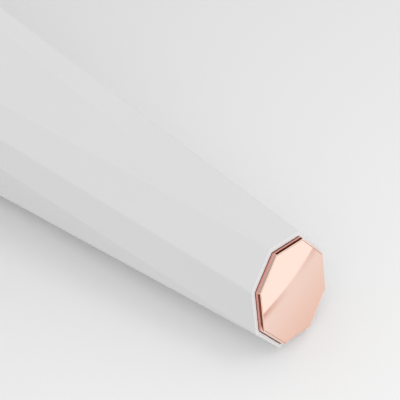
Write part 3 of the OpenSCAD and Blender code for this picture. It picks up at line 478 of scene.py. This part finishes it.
def arc(radius, start, end):
    """Points in millimetres on an arc round the icon's middle, from one angle in degrees to another."""
    angles = [math.radians(start + (end - start) * i / ICON_STEPS) for i in range(ICON_STEPS + 1)]
    return [(radius * math.cos(a), radius * math.sin(a)) for a in angles]


def wave(y, half=1.7, height=0.32):
    """Points in millimetres on a wave at this place along the icon."""
    spots = [half * (2 * i / ICON_STEPS - 1) for i in range(ICON_STEPS + 1)]
    return [(x, y + height * math.sin(2 * math.pi * x / half)) for x in spots]


# Each icon's lines, in millimetres to the right and towards the spatula
ICONS = {
    "power": [arc(1.45, 130, 410), [(0, 0.55), (0, 1.85)]],
    "mode": [wave(-1.0), wave(0), wave(1.0)],
    "level": [[(x, -1.4), (x, x * 0.8 + 0.5)] for x in (-1.2, 0, 1.2)],
}


def icon_lines(name):
    """An icon's round lines, on the plane of the curve's first two axes."""
    curve = bpy.data.curves.new(f"{name}_icon", "CURVE")
    curve.dimensions = "3D"
    curve.bevel_depth = ICON_LINE / 2
    curve.bevel_resolution = ICON_SECTION_STEPS
    curve.use_fill_caps = True
    for line in ICONS[name]:
        spline = curve.splines.new("POLY")
        spline.points.add(len(line) - 1)
        for point, (across, ahead) in zip(spline.points, line):
            point.co = (across * MM, ahead * MM, 0, 1)
    return curve


def icon(name, material):
    """Raised enamel lines on the middle of a button."""
    button = NODES[f"{name}_button"].data
    height = max(v.co.dot(CONTROL_OUT) for v in button.vertices)
    top = [v.co for v in button.vertices if v.co.dot(CONTROL_OUT) > height - TOP_REACH]
    middle = sum(top, Vector()) / len(top)
    made = new_piece(f"{name}_icon", icon_lines(name), material)
    made.matrix_world = Matrix.Translation(middle) @ Matrix((
        CONTROL_SIDE, CONTROL_AHEAD, CONTROL_OUT * ICON_RAISE)).transposed().to_4x4()
    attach(made, f"{name}_press")


def contacts(material):
    """Gold contact strips on both faces of the charging socket's tongue."""
    low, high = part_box("socket_tongue")
    mesh = bmesh.new()
    middle = (low + high) / 2
    size = Vector((CONTACT_WIDTH, CONTACT_LENGTH, 2 * CONTACT_RAISE))
    for face in (low.z, high.z):
        for i in range(CONTACTS):
            x = middle.x + (i - (CONTACTS - 1) / 2) * CONTACT_PITCH
            place = Vector((x, high.y - CONTACT_LENGTH / 2 - CONTACT_INSET, face))
            bmesh.ops.create_cube(mesh, size=1.0, matrix=Matrix.LocRotScale(place, None, size))
    bmesh.ops.bevel(mesh, geom=mesh.edges, offset=CONTACT_RAISE / 2, segments=CONTACT_EDGE_STEPS,
                    affect="EDGES")
    data = bpy.data.meshes.new("socket_contacts")
    mesh.to_mesh(data)
    made = new_piece("socket_contacts", data, material)
    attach(made, "handle")


def seen_directly(material):
    """1 for rays from the camera, and for those that metal and clear pieces send on, otherwise 0."""
    rays = node(material, "ShaderNodeLightPath")
    seen = rays.outputs["Is Camera Ray"]
    for kind in ("Is Glossy Ray", "Is Transmission Ray"):
        either = node(material, "ShaderNodeMath", operation="MAXIMUM")
        link(material, seen, either.inputs[0])
        link(material, rays.outputs[kind], either.inputs[1])
        seen = either.outputs["Value"]
    return seen


def studio():
    """World, and softboxes that metal doesn't show."""
    world = bpy.data.worlds.new("studio")
    bpy.context.scene.world = world
    world.use_nodes = True
    background = world.node_tree.nodes["Background"]
    level = spread(world, seen_directly(world), FILL_LEVEL, BACKDROP_LEVEL, source=(0, 1))
    link(world, level, background.inputs["Strength"])
    background.inputs["Color"].default_value = (*WHITE, 1)

    for name, (place, side, watts) in SOFTBOXES.items():
        lamp = bpy.data.lights.new(name, "AREA")
        lamp.size = side
        lamp.energy = watts
        softbox = bpy.data.objects.new(name, lamp)
        softbox.location = place
        softbox.visible_glossy = False
        softbox.rotation_mode = "QUATERNION"
        softbox.rotation_quaternion = (-place).to_track_quat("-Z", "Y")
        bpy.context.scene.collection.objects.link(softbox)


def flat_sheet(name, width, height):
    """A rectangle round its own middle."""
    x, y = width / 2, height / 2
    mesh = bpy.data.meshes.new(name)
    mesh.from_pydata([(-x, -y, 0), (x, -y, 0), (x, y, 0), (-x, y, 0)], [], [(0, 1, 2, 3)])
    return mesh


def floor_material():
    """A matt surface that shows one level, sloping as painted light, and throws back another, with a share of glow
    as painted light that lifts its shadow.
    """
    material = surface("floor", WHITE * FLOOR_BOUNCE, FLOOR_ROUGHNESS, tone=0, grain_depth=0,
                       Specular_IOR_Level=0)
    shader = material.node_tree.nodes["Principled BSDF"]
    seen = seen_directly(material)
    # Painted light: the level that shows rises along one direction
    slope = spread(material, along(material, FLOOR_SLOPE), 0, 1, source=FLOOR_SLOPE_ENDS)
    shown = node(material, "ShaderNodeMix", data_type="RGBA")
    link(material, seen, shown.inputs["Factor"])
    link(material, base_color(shader), shown.inputs["A"])
    link(material, shades(material, slope, WHITE * FLOOR_DIM, WHITE * FLOOR_BRIGHT), shown.inputs["B"])
    link(material, shown.outputs["Result"], shader.inputs["Base Color"])
    # Painted light: a glow that lifts the floor's shadow where it shows
    glow = node(material, "ShaderNodeEmission", Strength=1.0, Color=(*WHITE * FLOOR_GLOW, 1))
    lifted = node(material, "ShaderNodeMixShader")
    link(material, spread(material, seen, 0, FLOOR_GLOW_SHARE, source=(0, 1)), lifted.inputs["Fac"])
    link(material, shader.outputs["BSDF"], lifted.inputs[1])
    link(material, glow.outputs["Emission"], lifted.inputs[2])
    link(material, lifted.outputs["Shader"], material.node_tree.nodes["Material Output"].inputs["Surface"])
    return material


def floor():
    """The pale floor that the object lies on."""
    made = new_piece("floor", flat_sheet("floor", FLOOR_SIZE, FLOOR_SIZE), floor_material())


def lone_shader(name, kind, **values):
    """A material of one shader alone, and that shader."""
    material = bpy.data.materials.new(name)
    material.use_nodes = True
    tree = material.node_tree
    tree.nodes.remove(tree.nodes["Principled BSDF"])
    shader = node(material, kind, **values)
    link(material, shader.outputs[0], tree.nodes["Material Output"].inputs["Surface"])
    return material, shader


def glowing(name, level, color=WHITE):
    """A material that glows evenly."""
    return lone_shader(name, "ShaderNodeEmission", Strength=level, Color=(*color, 1))[0]


def seen_in_metal_only(piece):
    """Hides a piece of the studio from all but mirrored rays."""
    piece.visible_camera = False
    piece.visible_diffuse = False
    piece.visible_transmission = False
    piece.visible_volume_scatter = False
    piece.visible_shadow = False


def reflector_y(share):
    """The Y place of a share, from 0 to 1, of the reflector's width."""
    return REFLECTOR_MIDDLE + REFLECTOR_HALF_WIDTH * (2 * share - 1)


def reflector_x(y):
    """The X place of the reflector at a place along Y."""
    bow = (y - REFLECTOR_MIDDLE) ** 2 / (2 * REFLECTOR_RADIUS)
    return CAP_HIGH.x + REFLECTOR_AHEAD + bow


def reflector():
    """A bowed glowing card that stands on the floor before the cap, out of the picture, seen only in metal as a
    painted reflection.
    """
    points = []
    for i in range(REFLECTOR_STEPS + 1):
        y = reflector_y(i / REFLECTOR_STEPS)
        points += [(reflector_x(y), y, 0), (reflector_x(y), y, REFLECTOR_HEIGHT)]
    faces = [(2 * i, 2 * i + 2, 2 * i + 3, 2 * i + 1) for i in range(REFLECTOR_STEPS)]
    mesh = bpy.data.meshes.new("reflector")
    mesh.from_pydata(points, [], faces)
    # The card glows, to paint the bright part of the reflection in the cap's face
    seen_in_metal_only(new_piece("reflector", mesh, glowing("reflector", REFLECTOR_LEVEL)))


def cards():
    """Glowing cards that face the cap, for its polished gold to mirror as painted dark reflections on its rim."""
    cap = (CAP_LOW + CAP_HIGH) / 2
    for name, (place, width, height, color) in CARDS.items():
        card = new_piece(name, flat_sheet(name, width, height), glowing(name, 1.0, color))
        card.location = place
        card.rotation_mode = "QUATERNION"
        card.rotation_quaternion = (cap - place).to_track_quat("Z", "Y")
        seen_in_metal_only(card)


def smooth_step(value):
    """A soft rise from 0 to 1 while the value goes from 0 to 1."""
    value = min(1.0, max(0.0, value))
    return value * value * (3 - 2 * value)


def shade_tint(x, y):
    """The tint of the floor's mirror image: the light that the cap throws back beside it, and the shade
    under the reflector's two ends."""
    by_cap = 1 - smooth_step((x - CAP_HIGH.x - SHADE_FADE_START) / SHADE_FADE_LENGTH)
    by_end = smooth_step(abs(y - REFLECTOR_MIDDLE) / SHADE_END_REACH)
    by_card = by_end * smooth_step(1 - (reflector_x(y) - x) / SHADE_DEPTH)
    shade = SHADE_NEAR_END if y < REFLECTOR_MIDDLE else SHADE_FAR_END
    near_cap = WHITE.lerp(SHADE_BY_CAP, by_cap)
    near_card = WHITE.lerp(shade, by_card)
    return near_cap * near_card


def shade_sheet():
    """A clear sheet on the floor, from the cap to the reflector, that paints shade and the cap's rosy thrown-back
    light into what the cap's face mirrors.
    """
    points = []
    for i in range(SHEET_STEPS + 1):
        y = reflector_y(i / SHEET_STEPS)
        length = reflector_x(y) - CAP_HIGH.x
        points += [(CAP_HIGH.x + length * k / SHEET_STEPS, y, SHEET_RAISE) for k in range(SHEET_STEPS + 1)]
    row = SHEET_STEPS + 1
    faces = [(i * row + k, i * row + k + 1, (i + 1) * row + k + 1, (i + 1) * row + k)
             for i in range(SHEET_STEPS) for k in range(SHEET_STEPS)]
    mesh = bpy.data.meshes.new("shade_sheet")
    mesh.from_pydata(points, [], faces)
    # The tint is painted shade and painted rosy light, seen in the cap's mirror image of the floor
    tint = mesh.color_attributes.new("tint", "FLOAT_COLOR", "POINT")
    for place, (x, y, _) in zip(tint.data, points):
        place.color = (*shade_tint(x, y), 1)
    material, clear = lone_shader("shade_sheet", "ShaderNodeBsdfTransparent")
    tinted = node(material, "ShaderNodeAttribute", attribute_name="tint")
    link(material, tinted.outputs["Color"], clear.inputs["Color"])
    seen_in_metal_only(new_piece("shade_sheet", mesh, material))


def camera():
    """The photograph's camera."""
    data = bpy.data.cameras.new("camera")
    data.lens = CAMERA_LENS
    data.clip_start = CAMERA_NEAR
    data.clip_end = CAMERA_FAR
    made = bpy.data.objects.new("camera", data)
    made.rotation_mode = "QUATERNION"
    made.location = CAMERA_AT
    aim = (CAMERA_AIM - CAMERA_AT).to_track_quat("-Z", "Y")
    made.rotation_quaternion = aim @ Quaternion((0, 0, 1), CAMERA_ROLL)
    bpy.context.scene.collection.objects.link(made)
    bpy.context.scene.camera = made


bpy.context.scene.view_settings.view_transform = "Standard"
camera()
dress_nodes({name: surface(name, **look) for name, look in LOOKS.items()})
enamel = surface("enamel", ENAMEL, 0.35, grain_depth=1e-6)
for button in ICONS:
    icon(button, enamel)
contacts(surface("contact_gold", CONTACT_GOLD, 0.2, metallic=1.0, grain_depth=2e-7))
studio()
floor()
reflector()
cards()
shade_sheet()
